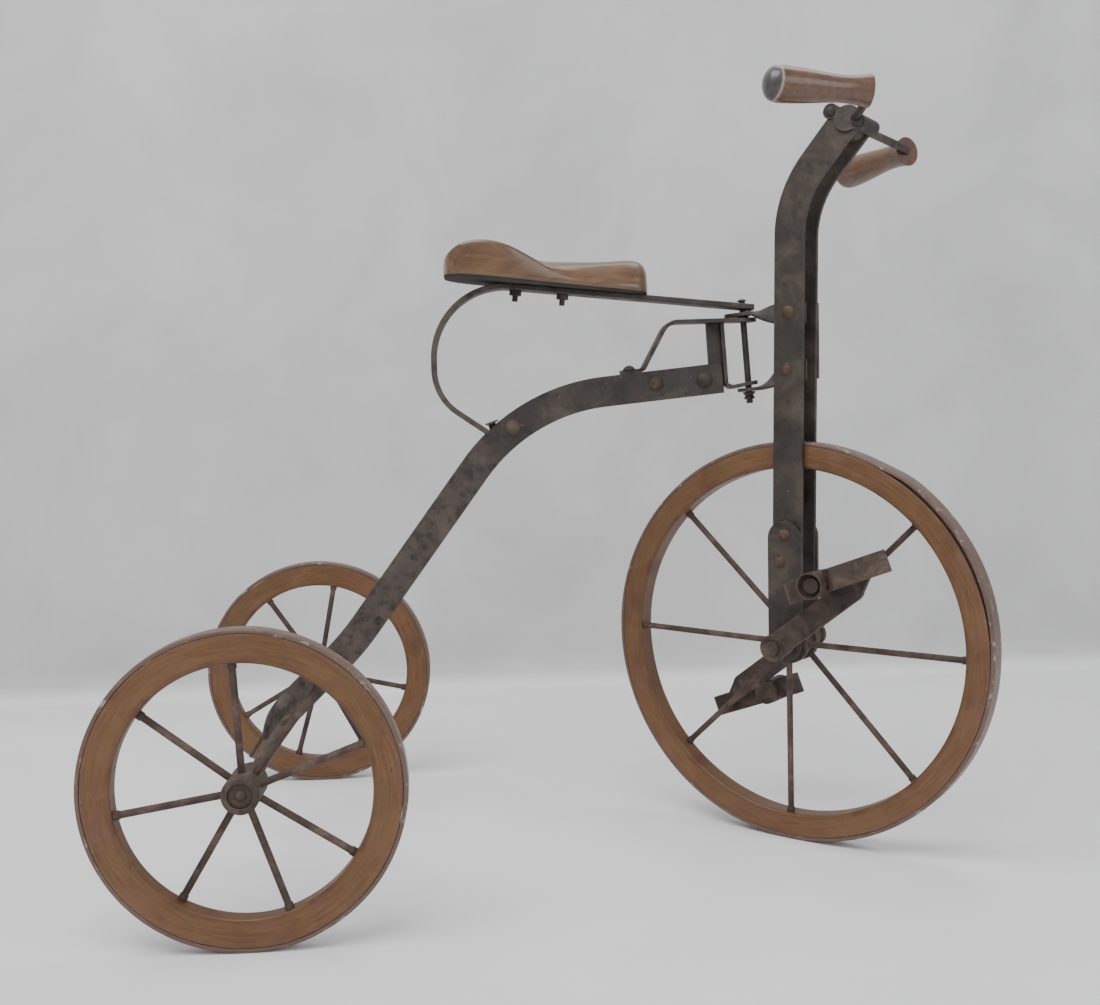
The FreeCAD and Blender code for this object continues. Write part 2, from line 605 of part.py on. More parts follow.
def taper_plate(x0, z0, r0, x1, z1, r1, y0, y1):
    """A flat bar that narrows from one round end to the other."""
    along = unit(V(x0, 0, z0), V(x1, 0, z1))
    up = V(-along.z, 0, along.x)
    corners = []
    for x, z, r in ((x0, z0, r0), (x1, z1, r1)):
        corners.append((V(x, y0, z).add(V(up).multiply(r)), V(x, y0, z).sub(V(up).multiply(r))))
    outline = Part.makePolygon([corners[0][0], corners[1][0], corners[1][1], corners[0][1], corners[0][0]])
    return Part.Face(outline).extrude(V(0, y1 - y0, 0)).fuse([disc(x0, z0, r0, y0, y1), disc(x1, z1, r1, y0, y1)])


def crank_arm():
    """The right arm: a flat bar with an eye for the pedal pin, and its boss on the axle."""
    arm = slot_plate(0, 0, 117.0, -4.0, 13.0, -ARM_OUT, -ARM_IN)
    root = disc(0, 0, 15.0, -ARM_OUT, -ARM_IN)
    point = taper_plate(117.0, -4.0, 13.0, 147.0, 2.0, 5.0, -ARM_OUT, -ARM_IN)
    arm = arm.fuse([root, point]).rotated(V(0, 0, 0), Y_AXIS, -ARM_ANGLE)
    eye = disc(CRANK_X, CRANK_Z, 14.0, -ARM_OUT, -ARM_IN)
    boss = disc(0, 0, 13.0, -ARM_IN, -END_OUT - 2.0)
    return arm.fuse([eye, boss]).removeSplitter()


def crank_pin():
    """The pin that the right pedal turns on, with a button head inside the tube's end."""
    pin = disc(CRANK_X, CRANK_Z, PEDAL_PIN_R, -90.5, -ARM_OUT + 5.0)
    return pin.fuse(disc(CRANK_X, CRANK_Z, 8.5, -90.5, -87.5)).removeSplitter()


def strap_loop(outline):
    """A strap 24 high bent along a plan outline of pedal length against axle direction."""
    strap = band(outline, [4.0] * (len(outline) - 2), 3.0, -12.0, 12.0)
    flat = strap.rotated(V(0, 0, 0), V(1, 0, 0), -90)
    return flat.rotated(V(0, 0, 0), Y_AXIS, -PEDAL_ANGLE)


def front_wheel():
    centre = V(LEAD, 0, FRONT_R)
    axle = disc(0, 0, FRONT_AXLE_R, -60, 60)
    pin = crank_pin()
    arm = crank_arm().cut(axle).cut(pin)
    parts = wheel(FRONT_R, FRONT_RIM_IN, FRONT_RIM_W, front_hub(), FRONT_FLANGE_R, 12.3, FRONT_SPOKES)
    nodes = {
        "front_hub": parts["hub"],
        "front_axle": axle,
        "front_rim": parts["rim"],
        "front_tread": parts["tread"],
        "front_spokes": parts["spokes"],
        "front_spoke_collars": parts["collars"],
        "crank_right": arm,
        "crank_left": opposite(arm, V(0, 0, 0)),
        "crank_pins": Part.makeCompound([pin, opposite(pin, V(0, 0, 0))]),
    }
    sleeve = disc(0, 0, PEDAL_TUBE_R, -96.0, -59.0)
    bore = disc(0, 0, PEDAL_PIN_R + FIT, -100, -50).fuse(disc(0, 0, 13.0, -100, -87.0))
    pedal = {
        "tube": sleeve.cut(bore),
        "front_strap": strap_loop([(12, -74.5), (24, -87), (76, -72), (80, -66), (76, -60.5), (13, -60.5)]).cut(sleeve),
        "rear_strap": strap_loop([(-13, -60.5), (-38, -60.5), (-42, -66), (-36, -72), (-12, -76)]).cut(sleeve),
    }
    for key, shape in pedal.items():
        moved = shape.translated(V(CRANK_X, 0, CRANK_Z))
        nodes["pedal_right_" + key] = moved
        nodes["pedal_left_" + key] = opposite(moved, V(0, 0, 0))
    for name, shape in nodes.items():
        export(name, from_fork(shape.translated(centre)))


os.makedirs("parts", exist_ok=True)
rear_wheels()
rear_axle()
frame()
seat()
fork()
front_wheel()
print("origin shift", round(ORIGIN_X, 2))
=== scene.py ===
import bpy
import bmesh
import json
import math
from mathutils import Matrix, Vector, noise


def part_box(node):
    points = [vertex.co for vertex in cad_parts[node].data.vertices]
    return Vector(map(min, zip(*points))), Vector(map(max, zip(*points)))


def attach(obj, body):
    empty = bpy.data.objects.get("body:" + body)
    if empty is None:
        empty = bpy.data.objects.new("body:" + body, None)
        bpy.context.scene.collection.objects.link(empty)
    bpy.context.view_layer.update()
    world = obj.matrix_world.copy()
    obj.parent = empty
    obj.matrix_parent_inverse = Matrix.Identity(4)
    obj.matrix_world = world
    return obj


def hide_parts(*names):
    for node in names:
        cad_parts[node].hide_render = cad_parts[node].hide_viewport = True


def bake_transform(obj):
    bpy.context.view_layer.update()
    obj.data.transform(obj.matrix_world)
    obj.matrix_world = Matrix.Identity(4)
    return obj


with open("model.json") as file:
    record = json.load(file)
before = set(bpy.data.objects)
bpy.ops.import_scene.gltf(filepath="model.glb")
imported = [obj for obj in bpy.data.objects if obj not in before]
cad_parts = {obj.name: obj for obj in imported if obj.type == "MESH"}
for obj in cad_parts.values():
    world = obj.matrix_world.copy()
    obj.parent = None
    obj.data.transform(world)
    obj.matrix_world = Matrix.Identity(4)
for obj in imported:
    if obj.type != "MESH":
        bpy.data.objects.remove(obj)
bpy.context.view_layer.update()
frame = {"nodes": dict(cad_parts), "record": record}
NODES = frame["nodes"]
JOINTS = {j["name"]: j for j in frame["record"]["behaviour"]["joints"]}

# key of its woods, start of its nodes' names, body, inner and outer radius, half width, seed; metres
WHEELS = (("front", "front", "front_wheel", 0.2003, 0.2305, 0.013, 1.0),
          ("rear_right", "rear_wheel_right", "rear_wheel_right", 0.1201, 0.1524, 0.00975, 2.0),
          ("rear_left", "rear_wheel_left", "rear_wheel_left", 0.1201, 0.1524, 0.00975, 3.0))
TREAD = 0.0044              # thickness of a tread band
GAP = 0.0001                # between a rim and its tread


# ------------------------------------------------------------------------------------------
# materials: a thin layer over shader nodes
# ------------------------------------------------------------------------------------------
class Paint:
    """One node material; the methods add nodes and return output sockets."""

    def __init__(self, name):
        self.mat = bpy.data.materials.new(name)
        self.mat.use_nodes = True
        self.tree = self.mat.node_tree
        self.tree.nodes.clear()
        self.out = self.tree.nodes.new("ShaderNodeOutputMaterial")
        self.shader = self.tree.nodes.new("ShaderNodeBsdfPrincipled")
        self.tree.links.new(self.shader.outputs[0], self.out.inputs[0])

    def node(self, kind, **settings):
        n = self.tree.nodes.new(kind)
        for key, value in settings.items():
            setattr(n, key, value)
        return n

    def feed(self, socket, value):
        if isinstance(value, bpy.types.NodeSocket):
            self.tree.links.new(value, socket)
        elif not hasattr(socket.default_value, "__len__"):
            socket.default_value = value
        else:
            size = len(socket.default_value)
            parts = list(value) if hasattr(value, "__len__") else [value] * size
            socket.default_value = (parts + [1.0] * size)[:size]

    def math(self, op, a, b=None, c=None, clamp=False):
        n = self.node("ShaderNodeMath", operation=op, use_clamp=clamp)
        for socket, value in zip(n.inputs, (a, b, c)):
            if value is not None:
                self.feed(socket, value)
        return n.outputs[0]

    def vec(self, op, a, b=None, scale=None):
        n = self.node("ShaderNodeVectorMath", operation=op)
        self.feed(n.inputs[0], a)
        if b is not None:
            self.feed(n.inputs[1], b)
        if scale is not None:
            self.feed(n.inputs["Scale"], scale)
        return n.outputs["Value"] if op in ("DOT_PRODUCT", "LENGTH", "DISTANCE") else n.outputs[0]

    def split(self, vector):
        n = self.node("ShaderNodeSeparateXYZ")
        self.feed(n.inputs[0], vector)
        return n.outputs[0], n.outputs[1], n.outputs[2]

    def join(self, x, y, z):
        n = self.node("ShaderNodeCombineXYZ")
        for socket, value in zip(n.inputs, (x, y, z)):
            self.feed(socket, value)
        return n.outputs[0]

    def place(self):
        return self.node("ShaderNodeTexCoord").outputs["Object"]

    def noise(self, vector, scale, detail=4.0, rough=0.55, distort=0.0):
        n = self.node("ShaderNodeTexNoise")
        self.feed(n.inputs["Vector"], vector)
        n.inputs["Scale"].default_value = scale
        n.inputs["Detail"].default_value = detail
        n.inputs["Roughness"].default_value = rough
        n.inputs["Distortion"].default_value = distort
        return n.outputs["Fac"]

    def cells(self, vector, scale, feature="F1"):
        n = self.node("ShaderNodeTexVoronoi", feature=feature)
        self.feed(n.inputs["Vector"], vector)
        n.inputs["Scale"].default_value = scale
        return n.outputs["Distance"]

    def ramp(self, fac, stops, smooth=False):
        n = self.node("ShaderNodeValToRGB")
        n.color_ramp.interpolation = "EASE" if smooth else "LINEAR"
        while len(n.color_ramp.elements) < len(stops):
            n.color_ramp.elements.new(0.5)
        for element, (at, colour) in zip(n.color_ramp.elements, stops):
            element.position = at
            element.color = (colour, colour, colour, 1) if isinstance(colour, float) else (*colour, 1)
        self.feed(n.inputs[0], fac)
        return n.outputs[0]

    def band(self, value, low, high):
        """0 below low, 1 above high, smooth between; low may be above high."""
        n = self.node("ShaderNodeMapRange", interpolation_type="SMOOTHSTEP")
        self.feed(n.inputs["Value"], value)
        if low <= high:
            pair = (low, high, 0.0, 1.0)
        else:
            pair = (high, low, 1.0, 0.0)
        for key, number in zip(("From Min", "From Max", "To Min", "To Max"), pair):
            n.inputs[key].default_value = number
        return n.outputs[0]

    def mix(self, fac, a, b, kind="MIX"):
        n = self.node("ShaderNodeMix", data_type="RGBA", blend_type=kind)
        self.feed(n.inputs[0], fac)
        self.feed(n.inputs[6], a)
        self.feed(n.inputs[7], b)
        return n.outputs[2]

    def bump(self, height, distance, strength=1.0, under=None):
        n = self.node("ShaderNodeBump")
        n.inputs["Strength"].default_value = strength
        n.inputs["Distance"].default_value = distance
        self.feed(n.inputs["Height"], height)
        if under is not None:
            self.feed(n.inputs["Normal"], under)
        return n.outputs[0]

    def edges(self, radius):
        """1 on convex edges, 0 on flats, and the softened normal."""
        bevel = self.node("ShaderNodeBevel", samples=6)
        bevel.inputs["Radius"].default_value = radius
        geometry = self.node("ShaderNodeNewGeometry")
        same = self.vec("DOT_PRODUCT", bevel.outputs[0], geometry.outputs["Normal"])
        return self.band(same, 0.998, 0.9), bevel.outputs[0]

    def finish(self, colour, roughness, normal=None, **constants):
        self.feed(self.shader.inputs["Base Color"], colour)
        self.feed(self.shader.inputs["Roughness"], roughness)
        if normal is not None:
            self.feed(self.shader.inputs["Normal"], normal)
        for key, value in constants.items():
            socket = self.shader.inputs[key.replace("_", " ")]
            self.feed(socket, value)
        return self.mat


STUDIO = 0.76       # the lights are strong, so surfaces are this much darker than they look


def srgb(r, g, b):
    """A colour as it looks in the studio, 0-255, as linear light."""
    return tuple(STUDIO * ((c / 255 + 0.055) / 1.055) ** 2.4 for c in (r, g, b))


def painted_steel(name, main, worn, dark, seed=0.0, streak=(1, 1, 1)):
    """Old dull paint on steel: blotches, pitting, light scratches and rubbed edges."""
    p = Paint(name)
    at = p.vec("ADD", p.vec("MULTIPLY", p.place(), streak), (seed, seed * 0.7, seed * 1.3))
    blotch = p.noise(at, 18.0, 5.0, 0.6, 0.6)
    grime = p.noise(at, 70.0, 4.0, 0.65)
    fine = p.noise(at, 420.0, 3.0, 0.6)
    colour = p.ramp(blotch, [(0.32, dark), (0.5, main), (0.68, worn)])
    colour = p.mix(p.band(grime, 0.52, 0.72), colour, dark)
    edge, soft = p.edges(0.0012)
    rubbed = p.math("MULTIPLY", edge, p.band(fine, 0.35, 0.62))
    colour = p.mix(p.math("MULTIPLY", rubbed, 0.7), colour, worn)
    # lighter grey-brown in patches towards -x (object x below -0.02), where the grime noise is low
    paler_toward_minus_x = p.math("MULTIPLY", p.band(p.split(p.place())[0], -0.02, -0.12), p.band(grime, 0.66, 0.4))
    colour = p.mix(p.math("MULTIPLY", paler_toward_minus_x, 0.45), colour, srgb(104, 92, 86))
    fleck = p.band(p.noise(at, 260.0, 2.0, 0.5), 0.73, 0.78)
    colour = p.mix(p.math("MULTIPLY", fleck, 0.6), colour, tuple(min(1, c * 2.6 + 0.05) for c in worn))
    rough = p.ramp(grime, [(0.3, 0.42), (0.7, 0.68)])
    height = p.math("ADD", p.math("MULTIPLY", blotch, 0.7), p.math("MULTIPLY", fine, 0.5))
    return p.finish(colour, rough, p.bump(height, 0.0004, 0.6, soft), Specular_IOR_Level=0.4)


def rusty_steel(name, main, light, dark, seed=0.0):
    """Bare steel with brown rust: patches, pits and a dull dusty bloom."""
    p = Paint(name)
    at = p.vec("ADD", p.place(), (seed, seed * 0.4, seed * 0.9))
    patch = p.noise(at, 35.0, 6.0, 0.65, 0.8)
    pits = p.cells(p.vec("ADD", at, p.vec("SCALE", p.join(patch, patch, patch), scale=0.004)), 480.0)
    fine = p.noise(at, 520.0, 3.0, 0.7)
    colour = p.ramp(patch, [(0.3, dark), (0.5, main), (0.7, light)])
    colour = p.mix(p.band(pits, 0.25, 0.08), colour, dark)
    edge, soft = p.edges(0.0012)
    colour = p.mix(p.math("MULTIPLY", edge, p.band(fine, 0.35, 0.6)), colour, light)
    rough = p.ramp(patch, [(0.3, 0.5), (0.7, 0.8)])
    height = p.math("ADD", patch, p.math("MULTIPLY", fine, 0.6))
    return p.finish(colour, rough, p.bump(height, 0.0005, 0.7, soft), Specular_IOR_Level=0.35)


def joint_place(name):
    return Vector(JOINTS[name]["pos_m"])


def wheel_axes(joint):
    """Centre, forward direction and axle direction of a wheel."""
    axle = Vector(JOINTS[joint]["axis"]).normalized()
    up = Vector((0, 0, 1))
    forward = axle.cross(up).normalized()
    return joint_place(joint), forward, axle


def wheel_polar(p, joint):
    """Angle, radius and sideways distance about a wheel's axle, in radians and metres."""
    centre, forward, axle = wheel_axes(joint)
    offset = p.vec("SUBTRACT", p.place(), tuple(centre))
    x = p.vec("DOT_PRODUCT", offset, tuple(forward))
    side = p.vec("DOT_PRODUCT", offset, tuple(axle))
    up = p.split(offset)[2]
    radius = p.math("SQRT", p.math("ADD", p.math("MULTIPLY", x, x), p.math("MULTIPLY", up, up)))
    return p.math("ARCTAN2", up, x), radius, side


def rim_wood(name, joint, r_in, r_out, light, main, dark, worn, seed):
    """Bent wood: grain round the wheel, blotchy old varnish, a worn outer band, rust by the spokes, and painted
    shade along the inner edge.
    """
    p = Paint(name)
    angle, radius, side = wheel_polar(p, joint)
    along = p.math("MULTIPLY", angle, (r_in + r_out) / 2)
    depth = p.math("ADD", side, seed)
    wobble = p.noise(p.join(along, seed, 0.0), 9.0, 2.0)
    waved = p.math("ADD", radius, p.math("MULTIPLY", wobble, 0.006))
    grain = p.noise(p.join(p.math("MULTIPLY", along, 0.09), waved, depth), 380.0, 4.0, 0.6, 0.4)
    pores = p.noise(p.join(p.math("MULTIPLY", along, 0.15), radius, depth), 1500.0, 2.0, 0.6)
    broad = p.noise(p.join(along, radius, depth), 16.0, 5.0, 0.62, 0.6)
    tint = p.noise(p.join(along, radius, p.math("ADD", depth, 3.0)), 24.0, 3.0, 0.5)
    colour = p.ramp(grain, [(0.2, dark), (0.48, main), (0.8, light)])
    colour = p.mix(p.math("MULTIPLY", p.band(broad, 0.47, 0.68), 0.55), colour, light)
    colour = p.mix(p.math("MULTIPLY", p.band(broad, 0.47, 0.28), 0.65), colour, dark)
    colour = p.mix(p.math("MULTIPLY", p.band(tint, 0.5, 0.66), 0.35), colour, srgb(128, 88, 76))
    colour = p.mix(p.math("MULTIPLY", p.band(tint, 0.5, 0.34), 0.3), colour, srgb(104, 84, 52))
    pits = p.noise(p.join(p.math("MULTIPLY", along, 0.45), radius, depth), 240.0, 3.0, 0.6)
    colour = p.mix(p.math("MULTIPLY", p.band(pits, 0.68, 0.74), 0.7), colour, srgb(48, 34, 28))
    inner = p.band(p.math("SUBTRACT", radius, p.math("MULTIPLY", broad, 0.008)), r_in + 0.003, r_in - 0.003)
    rusty = p.band(p.noise(p.join(along, seed + 4.0, 0.0), 26.0, 2.0, 0.5), 0.52, 0.64)
    colour = p.mix(p.math("MULTIPLY", p.math("MULTIPLY", inner, rusty), 0.8), colour, srgb(98, 46, 36))
    # painted shade: the inner edge of the rim, next to the spokes, is darkened
    colour = p.mix(p.math("MULTIPLY", inner, 0.35), colour, dark)
    outer = p.band(radius, r_out - 0.0075, r_out - 0.003)
    colour = p.mix(p.math("MULTIPLY", outer, 0.45), colour, srgb(112, 92, 88))
    scuff = p.noise(p.join(p.math("MULTIPLY", along, 0.6), radius, depth), 150.0, 5.0, 0.72)
    scuffed = p.math("MULTIPLY", p.band(scuff, 0.57, 0.68), outer)
    colour = p.mix(p.math("MULTIPLY", scuffed, 0.75), colour, worn)
    height = p.math("ADD", p.math("MULTIPLY", grain, 0.5), p.math("MULTIPLY", pores, 0.4))
    rough = p.ramp(broad, [(0.3, 0.34), (0.7, 0.55)])
    return p.finish(colour, rough, p.bump(height, 0.00025, 0.5), Specular_IOR_Level=0.45)


def plain_wood(name, grain_scale, light, main, dark, low, high, coat, seed, cap=None, under=None):
    """Turned or carved wood under varnish.

    cap is where a dark end begins and which way it points, with a painted highlight line just inside it; under
    is the plane of the underside, which is darkened as painted shade.
    """
    p = Paint(name)
    at = p.vec("ADD", p.vec("MULTIPLY", p.place(), grain_scale), (seed, seed, seed))
    bend = p.noise(at, 6.0, 2.0)
    grain = p.noise(p.vec("ADD", at, p.join(0.0, p.math("MULTIPLY", bend, 0.01), 0.0)), 160.0, 5.0, 0.6, 0.5)
    broad = p.noise(p.place(), 25.0, 4.0, 0.6, 0.5)
    stain = p.noise(p.place(), 60.0, 5.0, 0.65, 0.6)
    colour = p.ramp(grain, [(0.22, dark), (0.5, main), (0.78, light)])
    colour = p.mix(p.math("MULTIPLY", p.band(broad, 0.5, 0.28), 0.55), colour, dark)
    colour = p.mix(p.math("MULTIPLY", p.band(broad, 0.5, 0.7), 0.4), colour, light)
    colour = p.mix(p.math("MULTIPLY", p.band(stain, 0.6, 0.72), 0.4), colour, srgb(96, 58, 44))
    spots = p.noise(p.place(), 330.0, 2.0, 0.5)
    colour = p.mix(p.math("MULTIPLY", p.band(spots, 0.7, 0.75), 0.6), colour, srgb(50, 36, 30))
    if cap:
        place, direction = cap
        reach = p.vec("DOT_PRODUCT", p.vec("SUBTRACT", p.place(), tuple(place)), tuple(direction))
        ragged = p.math("ADD", reach, p.math("MULTIPLY", p.math("SUBTRACT", stain, 0.5), 0.004))
        dull = p.ramp(stain, [(0.35, srgb(56, 52, 54)), (0.65, srgb(88, 84, 82))])
        colour = p.mix(p.band(ragged, -0.0008, 0.0008), colour, dull)
        # painted highlight: a pale glint line just inside the dark end
        line = p.math("MULTIPLY", p.band(ragged, -0.0034, -0.0016), p.band(ragged, 0.0004, -0.0004))
        colour = p.mix(p.math("MULTIPLY", line, 0.55), colour, srgb(190, 180, 162))
    rough = p.ramp(broad, [(0.3, low), (0.7, high)])
    if under:
        place, normal = under
        height = p.vec("DOT_PRODUCT", p.vec("SUBTRACT", p.place(), tuple(place)), tuple(normal))
        # painted shade: the seat's underside is darkened near its plane; the coat is taken off there and the
        # roughness raised
        underside_shade = p.band(height, 0.0032, 0.0014)
        colour = p.mix(underside_shade, colour, p.ramp(stain, [(0.35, srgb(40, 34, 30)), (0.65, srgb(64, 56, 50))]))
        rough = p.math("MAXIMUM", rough, p.math("MULTIPLY", underside_shade, 0.85))
        coat = p.math("MULTIPLY", p.math("SUBTRACT", 1.0, underside_shade), coat)
    return p.finish(colour, rough, p.bump(grain, 0.0002, 0.4), Coat_Weight=coat, Coat_Roughness=0.14)


CAP_LENGTH = 0.010          # of the dark end of a grip


def grip_cap(side):
    """Where a grip's dark end begins, and which way it points: away from the clamp."""
    clamp_low, clamp_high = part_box("handlebar_clamp")
    clamp = (clamp_low + clamp_high) / 2
    points = [v.co for v in NODES["grip_" + side].data.vertices]
    far = max(points, key=lambda v: (v - clamp).length)
    near = max(points, key=lambda v: (v - far).length)
    middle = sum(points, Vector()) / len(points)
    if (far - near).dot(middle - near) > 0:
        direction = (middle - near).normalized()
    else:
        direction = (near - middle).normalized()
    tip = max(v.dot(direction) for v in points)
    return direction * (tip - CAP_LENGTH), direction


SEAT_TILT = 0.0998          # the saddle's underside rises this much to the rear


def seat_under():
    low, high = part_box("seat")
    return Vector((high.x, 0, low.z)), Vector((SEAT_TILT, 0, 1)).normalized()


STEEL = painted_steel("bar_paint", srgb(66, 58, 52), srgb(92, 82, 72), srgb(46, 42, 38), 0.0)
DARK = painted_steel("dark_steel", srgb(50, 46, 42), srgb(76, 68, 60), srgb(34, 31, 29), 3.0)
RUST = rusty_steel("rusty_steel", srgb(76, 64, 57), srgb(118, 98, 84), srgb(44, 37, 34), 1.0)
SPOKE = rusty_steel("spoke_paint", srgb(84, 66, 58), srgb(120, 100, 92), srgb(50, 40, 36), 5.0)
COPPER = rusty_steel("rivet_copper", srgb(88, 66, 54), srgb(122, 96, 80), srgb(56, 44, 38), 6.0)
BROWN = rusty_steel("rivet_brown", srgb(76, 64, 54), srgb(102, 90, 78), srgb(48, 41, 36), 7.0)
WOOD = {}
for key, _, body, inner, outer, _, seed in WHEELS:
    joint = body + "_spin"
    WOOD[key] = rim_wood("rim_wood_" + key, joint, inner, outer,
                         srgb(130, 98, 62), srgb(114, 76, 44), srgb(88, 59, 36), srgb(176, 160, 150), seed)
    WOOD[key + "_tread"] = rim_wood("tread_wood_" + key, joint, inner, outer,
                                    srgb(132, 106, 84), srgb(104, 77, 56), srgb(74, 54, 41),
                                    srgb(190, 180, 172), seed + 9)
SEAT_WOOD = plain_wood("seat_wood", (0.14, 1.0, 1.0), srgb(134, 100, 64), srgb(108, 76, 48), srgb(82, 54, 37),
                       0.24, 0.4, 0.55, 0.0, under=seat_under())
GRIP_WOOD = {}
for side in ("right", "left"):
    GRIP_WOOD[side] = plain_wood("grip_wood_" + side, (1.0, 0.3, 1.0),
                                 srgb(124, 88, 60), srgb(98, 66, 44), srgb(74, 48, 35),
                                 0.26, 0.45, 0.5, 4.0, grip_cap(side))

SLOT_MATERIAL = {"bar_paint": STEEL, "dark_steel": DARK, "rusty_steel": RUST, "spoke_paint": SPOKE,
                 "rivet_copper": COPPER, "rivet_brown": BROWN, "seat_wood": SEAT_WOOD}
for entry in frame["record"]["subparts"]:
    node = entry["node"]
    slot = entry["material_slot"]
    if slot in ("rim_wood", "tread_wood"):
        wheel_name = "front" if node.startswith("front") else node.replace("wheel_", "").rsplit("_", 1)[0]
        material = WOOD[wheel_name + ("_tread" if slot == "tread_wood" else "")]
    elif slot == "grip_wood":
        material = GRIP_WOOD[node.split("_")[1]]
    else:
        material = SLOT_MATERIAL[slot]
    mesh = NODES[node].data
    mesh.materials.clear()
    mesh.materials.append(material)


# ------------------------------------------------------------------------------------------
# meshes
# ------------------------------------------------------------------------------------------
def make_piece(name, verts, faces, material, smooth=True):
    mesh = bpy.data.meshes.new(name)
    mesh.from_pydata([tuple(v) for v in verts], [], faces)
    work = bmesh.new()
    work.from_mesh(mesh)
    bmesh.ops.recalc_face_normals(work, faces=work.faces)
    work.to_mesh(mesh)
    work.free()
    if smooth:
        mesh.shade_smooth()
    mesh.materials.append(material)
    piece = bpy.data.objects.new(name, mesh)
    bpy.context.scene.collection.objects.link(piece)
    return piece


def loft(rings, closed):
    """Vertices and quads over a row of equal rings; a closed row joins its last ring to its first."""
    count = len(rings[0])
    verts = [v for ring in rings for v in ring]
    faces = []
    for i in range(len(rings) if closed else len(rings) - 1):
        a, b = i * count, (i + 1) % len(rings) * count
        faces += [(a + k, a + (k + 1) % count, b + (k + 1) % count, b + k) for k in range(count)]
    if not closed:
        faces.append(tuple(range(count)))
        faces.append(tuple(range(len(verts) - count, len(verts))))
    return verts, faces


def lerp(a, b, t):
    return a + (b - a) * t


def smooth_step(t):
    t = min(1.0, max(0.0, t))
    return t * t * (3 - 2 * t)


def ring_profile(r_in, r_out, half, soft_in, soft_out, steps=4):
    """Radius and side of a rounded rectangle, once round."""
    corners = ((r_out - soft_out, half - soft_out, soft_out), (r_in + soft_in, half - soft_in, soft_in),
               (r_in + soft_in, soft_in - half, soft_in), (r_out - soft_out, soft_out - half, soft_out))
    points = []
    for quarter, (r, s, soft) in enumerate(corners):
        for i in range(steps + 1):
            a = math.pi / 2 * (quarter + i / steps)
            points.append((r + soft * math.cos(a), s + soft * math.sin(a)))
    return points


def wheel_ring(name, joint, body, node, profile, material, seed, lift=None):
    """A ring about a wheel's axle, a little uneven as bent wood is."""
    centre, forward, axle = wheel_axes(joint)
    up = forward.cross(axle).normalized()
    rings = []
    steps = 240
    for i in range(steps):
        a = 2 * math.pi * i / steps
        out = forward * math.cos(a) + up * math.sin(a)
        around = Vector((math.cos(a) * 2.2, math.sin(a) * 2.2, seed))
        raised = lift(a) if lift else 0.0
        ring = []
        for r, s in profile:
            r += 0.00035 * noise.noise(around) + raised
            s += 0.0005 * noise.noise(around * 0.8 + Vector((7, 0, 0)))
            ring.append(centre + out * r + axle * s)
        rings.append(ring)
    piece = make_piece(name, *loft(rings, True), material)
    keep = piece.modifiers.new("flat_faces", "WEIGHTED_NORMAL")
    keep.weight = 80
    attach(piece, body)
    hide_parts(node)


CRACK = (64.0, -4.0)        # where the front tread's lift begins and ends, degrees above level
CRACK_OPEN = 0.0030


def crack_lift(angle):
    """The front tread stands off its rim over part of the upper front."""
    degrees = math.degrees(angle)
    opening = smooth_step((CRACK[0] - degrees) / 12.0) * smooth_step((degrees - CRACK[1]) / 34.0)
    return CRACK_OPEN * opening


def wheels():
    for key, wheel, body, inner, outer, half, seed in WHEELS:
        joint = body + "_spin"
        seat = outer - TREAD
        rim = ring_profile(inner, seat - GAP, half, 0.003, 0.0011)
        tread = ring_profile(seat + GAP, outer, half, 0.0008, 0.0022)
        lift = crack_lift if key == "front" else None
        wheel_ring(wheel + "_rim_wood", joint, body, wheel + "_rim", rim, WOOD[key], seed)
        wheel_ring(wheel + "_tread_wood", joint, body, wheel + "_tread", tread,
                   WOOD[key + "_tread"], seed + 5, lift)


# x, half width, height of the edge and of the middle; millimetres, in the seat's own box
SADDLE = ((0.3, 12, 37, 36), (2.5, 23, 44, 42), (8, 33, 50.5, 46), (18, 41, 57, 48), (30, 45, 60.3, 48.5),
          (43, 46.3, 61.5, 48), (58, 46.5, 60, 46.5), (74, 45.5, 55.5, 44.5), (90, 43, 47.5, 42.5),
          (108, 40, 36.5, 41), (125, 37, 27, 40), (142, 34, 21.5, 40), (160, 32, 18, 39.5), (180, 31, 16, 39.5),
          (200, 30, 14.5, 40.5), (215, 28, 13.5, 41.3), (226, 24, 12.8, 39.5), (232, 18, 12.3, 33),
          (234.8, 9, 12, 25))
# across half the top: share of the half width and of the way from edge to middle, at the dish, then at the nose
ACROSS = ((0.88, 0.03, 0.90, 0.24), (0.77, 0.26, 0.78, 0.50), (0.60, 0.66, 0.60, 0.76),
          (0.40, 0.89, 0.40, 0.92), (0.20, 0.97, 0.20, 0.985), (0.0, 1.0, 0.0, 1.0))


def saddle():
    """The carved wooden seat: side walls, a raised edge round a dish, and a rounded nose."""
    low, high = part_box("seat")
    mid_y = (low.y + high.y) / 2
    length = (high.x - low.x) * 1000
    rings = []
    for x, w, edge, middle in SADDLE:
        under = SEAT_TILT * (length - x)
        crown = smooth_step((x - 80.0) / 50.0)
        half = [(0.0, under), (0.45, under), (0.80, under), (0.93, under + 0.7), (0.99, under + 3.0),
                (1.0, lerp(under, edge, 0.6)), (0.985, edge - 2.0), (0.945, edge)]
        for at_dish, drop, at_crown, rise in ACROSS:
            half.append((lerp(at_dish, at_crown, crown), lerp(edge, middle, lerp(drop, rise, crown))))
        loop = half + [(-s, z) for s, z in reversed(half[1:-1])]
        rings.append([Vector((low.x + x / 1000, mid_y + s * w / 1000, low.z + z / 1000)) for s, z in loop])
    piece = make_piece("saddle", *loft(rings, False), SEAT_WOOD)
    soft = piece.modifiers.new("soft", "SUBSURF")
    soft.levels = 2
    soft.render_levels = 2
    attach(piece, "seat")
    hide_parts("seat")


